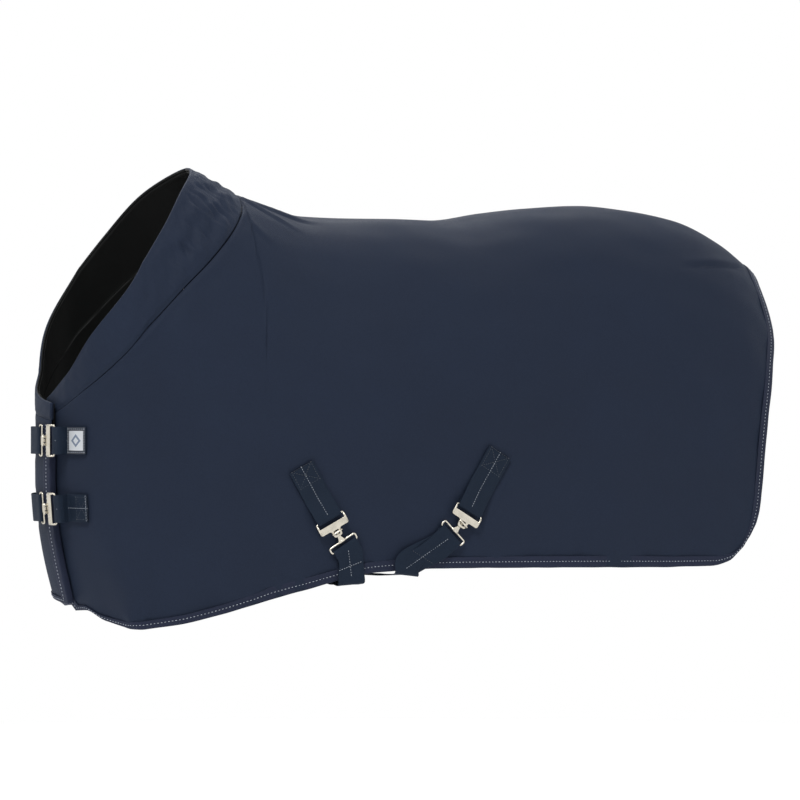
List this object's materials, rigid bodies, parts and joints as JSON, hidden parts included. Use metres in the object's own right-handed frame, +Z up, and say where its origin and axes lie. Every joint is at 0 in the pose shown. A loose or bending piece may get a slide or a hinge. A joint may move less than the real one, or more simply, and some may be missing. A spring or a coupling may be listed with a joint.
{
  "type": "turnout rug",
  "caption": "Horse turnout rug as it hangs on the horse: padded panels, chest flaps with T-hook fasteners, padded collar and crossed belly straps.",
  "frame": {"origin": "underside of the spine tape at the lowest point of the back, where the rug rests on the horse", "axes": "+X along the horse towards the tail, -Y the near (left) side, +Z up"},
  "size_m": [1.5717, 0.6049, 0.8822],
  "materials": {
    "outer fabric": "matt navy waterproof plain weave",
    "wadding": "white polyester wadding",
    "lining": "smooth black nylon",
    "edge binding": "navy tape with pale stitching",
    "strap fabric": "navy webbing covered in outer fabric",
    "nickel": "bright nickel plate",
    "label": "woven label"
  },
  "bodies": {
    "rug_body": {"shell_left": "outer fabric", "wadding_left": "wadding", "lining_left": "lining", "hem_binding_left": "edge binding", "collar_cover_left": "outer fabric", "collar_padding_left": "wadding", "collar_lining_left": "lining", "shell_right": "outer fabric", "wadding_right": "wadding", "lining_right": "lining", "hem_binding_right": "edge binding", "collar_cover_right": "outer fabric", "collar_padding_right": "wadding", "collar_lining_right": "lining", "spine_tape": "lining", "front_near_tab": "strap fabric", "rear_near_tab": "strap fabric", "front_off_strap": "strap fabric", "rear_off_strap": "strap fabric"},
    "near_chest_flap": {"shell_left_chest": "outer fabric", "wadding_left_chest": "wadding", "lining_left_chest": "lining", "chest_binding_left": "edge binding", "collar_cover_left_chest": "outer fabric", "collar_padding_left_chest": "wadding", "collar_lining_left_chest": "lining", "chest_tab_upper": "strap fabric", "chest_tab_lower": "strap fabric", "label": "label"},
    "off_chest_flap": {"shell_right_chest": "outer fabric", "wadding_right_chest": "wadding", "lining_right_chest": "lining", "chest_binding_right": "edge binding", "collar_cover_right_chest": "outer fabric", "collar_padding_right_chest": "wadding", "collar_lining_right_chest": "lining", "chest_strap_upper": "strap fabric", "chest_strap_lower": "strap fabric"},
    "upper_chest_plate": {"chest_plate_upper": "nickel"},
    "upper_chest_hook": {"chest_hook_upper": "nickel"},
    "lower_chest_plate": {"chest_plate_lower": "nickel"},
    "lower_chest_hook": {"chest_hook_lower": "nickel"},
    "front_plate": {"front_belly_plate": "nickel"},
    "front_strap": {"front_belly_strap": "strap fabric"},
    "front_hook": {"front_belly_hook": "nickel"},
    "front_slider": {"front_slider": "nickel"},
    "rear_plate": {"rear_belly_plate": "nickel"},
    "rear_strap": {"rear_belly_strap": "strap fabric"},
    "rear_hook": {"rear_belly_hook": "nickel"},
    "rear_slider": {"rear_slider": "nickel"}
  },
  "joints": [
    {"name": "chest_open", "type": "hinge", "parent": "rug_body", "child": "off_chest_flap", "pos_m": [-0.557, 0.212, -0.4], "axis": [0, 0, -1], "range_deg": [0, 75]},
    {"name": "near_flap_open", "type": "hinge", "parent": "rug_body", "child": "near_chest_flap", "pos_m": [-0.557, -0.212, -0.4], "axis": [0, 0, 1], "range_deg": [0, 75]},
    {"name": "upper_chest_plate_tilt", "type": "hinge", "parent": "near_chest_flap", "child": "upper_chest_plate", "pos_m": [-0.75768, -0.08029, -0.4247], "axis": [0, 0, 1], "range_deg": [0, 45]},
    {"name": "upper_chest_hook_tilt", "type": "hinge", "parent": "off_chest_flap", "child": "upper_chest_hook", "pos_m": [-0.76553, -0.02043, -0.4247], "axis": [0, 0, -1], "range_deg": [0, 45]},
    {"name": "lower_chest_plate_tilt", "type": "hinge", "parent": "near_chest_flap", "child": "lower_chest_plate", "pos_m": [-0.7548, -0.08028, -0.55366], "axis": [-0.0833, -0.017, 0.9964], "range_deg": [0, 45]},
    {"name": "lower_chest_hook_tilt", "type": "hinge", "parent": "off_chest_flap", "child": "lower_chest_hook", "pos_m": [-0.76266, -0.02042, -0.5533], "axis": [0.0833, 0.017, -0.9964], "range_deg": [0, 45]},
    {"name": "front_plate_tilt", "type": "hinge", "parent": "rug_body", "child": "front_plate", "pos_m": [-0.27521, -0.273, -0.57283], "axis": [-0.8656, 0.1281, -0.4841], "range_deg": [0, 45]},
    {"name": "front_strap_drop", "type": "hinge", "parent": "rug_body", "child": "front_strap", "pos_m": [-0.072, 0.27131, -0.69617], "axis": [0.9569, -0.2904, 0], "range_deg": [0, 80]},
    {"name": "front_hook_tilt", "type": "hinge", "parent": "front_strap", "child": "front_hook", "pos_m": [-0.24414, -0.27588, -0.62524], "axis": [0.8353, -0.1236, 0.5357], "range_deg": [0, 45]},
    {"name": "front_slider_slide", "type": "slide", "parent": "rug_body", "child": "front_slider", "axis": [0, 0, 1], "range_m": [-0.05, 0.02]},
    {"name": "rear_plate_tilt", "type": "hinge", "parent": "rug_body", "child": "rear_plate", "pos_m": [0.00861, -0.29779, -0.56019], "axis": [-0.853, 0.0281, 0.5211], "range_deg": [0, 45]},
    {"name": "rear_strap_drop", "type": "hinge", "parent": "rug_body", "child": "rear_strap", "pos_m": [-0.236, 0.25539, -0.70052], "axis": [0.9771, 0.2126, 0], "range_deg": [0, 60]},
    {"name": "rear_hook_tilt", "type": "hinge", "parent": "rear_strap", "child": "rear_hook", "pos_m": [-0.02946, -0.29483, -0.60713], "axis": [0.6905, -0.0228, -0.723], "range_deg": [0, 45]},
    {"name": "rear_slider_slide", "type": "slide", "parent": "rug_body", "child": "rear_slider", "axis": [0, 0, 1], "range_m": [-0.05, 0.02]}
  ],
  "couplings": [
    {"joint": "near_flap_open", "follows": "chest_open", "ratio": 1},
    {"joint": "rear_strap_drop", "follows": "front_strap_drop", "ratio": 0.75},
    {"joint": "upper_chest_plate_tilt", "follows": "chest_open", "ratio": 0.6},
    {"joint": "upper_chest_hook_tilt", "follows": "chest_open", "ratio": 0.6},
    {"joint": "lower_chest_plate_tilt", "follows": "chest_open", "ratio": 0.6},
    {"joint": "lower_chest_hook_tilt", "follows": "chest_open", "ratio": 0.6},
    {"joint": "front_plate_tilt", "follows": "front_strap_drop", "ratio": 0.5625},
    {"joint": "front_hook_tilt", "follows": "front_strap_drop", "ratio": 0.5625},
    {"joint": "rear_plate_tilt", "follows": "front_strap_drop", "ratio": 0.5625},
    {"joint": "rear_hook_tilt", "follows": "front_strap_drop", "ratio": 0.5625}
  ]
}
